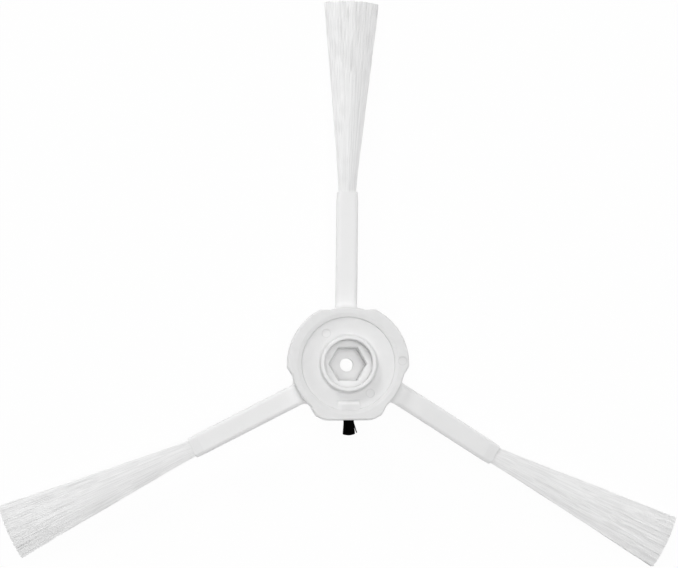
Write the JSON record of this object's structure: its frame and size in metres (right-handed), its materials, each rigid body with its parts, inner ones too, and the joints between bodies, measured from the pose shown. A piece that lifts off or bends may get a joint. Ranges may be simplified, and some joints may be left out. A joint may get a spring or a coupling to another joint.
{
  "type": "side brush",
  "caption": "Robot vacuum side brush: lobed hub with a hexagon drive socket, soft arms that carry flat bristle fans, and a short black wiper tuft",
  "frame": {"origin": "centre of the screw hole on the floor of the hexagon socket, where the drive shaft seats", "axes": "+Z along the drive axis towards the robot, +Y along the first arm, +X across it"},
  "size_m": [0.1641, 0.1391, 0.019],
  "materials": {
    "hub_plastic": "satin",
    "arm_rubber": "matte",
    "white_bristle": "satin",
    "black_bristle": "satin",
    "anchor_steel": "satin"
  },
  "bodies": {
    "root": {"hub": "hub_plastic", "arm_1": "arm_rubber", "arm_2": "arm_rubber", "arm_3": "arm_rubber", "tuft_1": "white_bristle", "tuft_2": "white_bristle", "tuft_3": "white_bristle", "wiper_tuft": "black_bristle", "tuft_anchor": "anchor_steel"}
  },
  "joints": []
}
